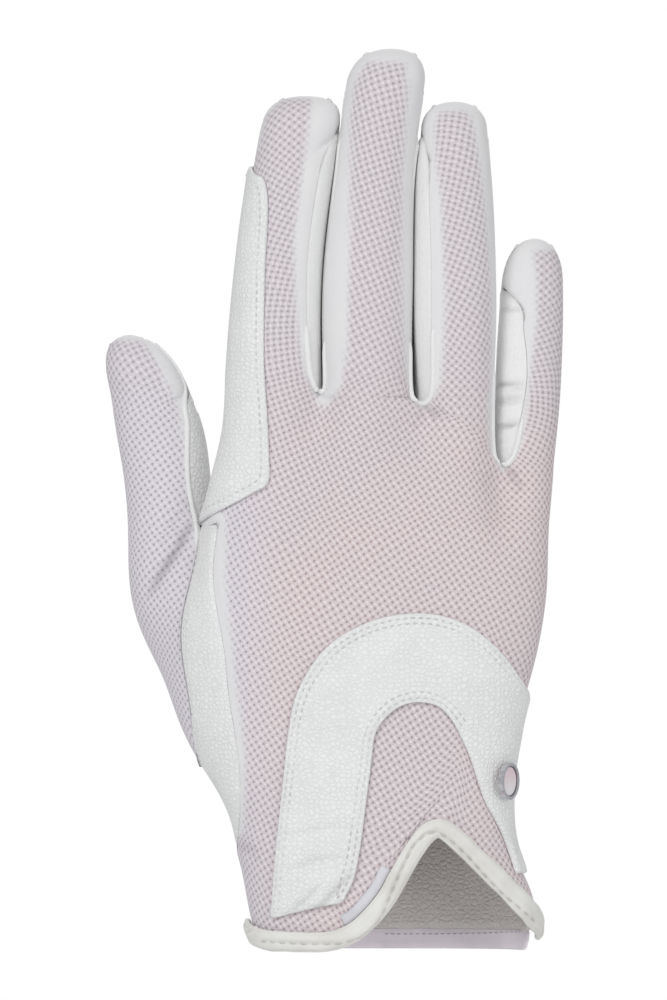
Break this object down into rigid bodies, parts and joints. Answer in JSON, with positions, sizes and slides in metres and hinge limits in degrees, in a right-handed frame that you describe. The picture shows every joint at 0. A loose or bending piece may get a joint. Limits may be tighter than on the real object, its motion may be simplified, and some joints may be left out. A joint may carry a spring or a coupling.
{
  "type": "horse riding glove",
  "caption": "White right-hand riding glove as worn: mesh back, grained leather palm, leather finger sides, raised side panel and an arched closure flap over a bound wrist vent.",
  "frame": {"origin": "centre of the wrist opening, level with the hem", "axes": "+Z to the fingertips, +X to the little finger's side, -Y out of the back of the hand, +Y out of the palm"},
  "size_m": [0.1169, 0.0462, 0.2304],
  "materials": {
    "mesh_fabric": "fine open knit mesh, matt",
    "grained_leather": "fine grain, soft satin",
    "smooth_leather": "smooth, soft satin",
    "binding_cloth": "folded tape, slight sheen",
    "hem_cloth": "smooth folded hem",
    "badge_metal": "polished thin rim",
    "badge_field": "plain glossy field"
  },
  "bodies": {
    "root": {"back_panel": "mesh_fabric", "thumb_back": "mesh_fabric", "palm_panel": "grained_leather", "thumb_palm": "grained_leather", "thumb_base_wrap": "grained_leather", "index_side_panel": "grained_leather", "closure_flap": "grained_leather", "fourchette_index_middle": "smooth_leather", "fourchette_middle_ring": "smooth_leather", "fourchette_ring_little": "smooth_leather", "wrist_binding": "binding_cloth", "vent_facing": "hem_cloth", "palm_hem": "hem_cloth", "badge_ring": "badge_metal", "badge_disc": "badge_field"}
  },
  "joints": []
}
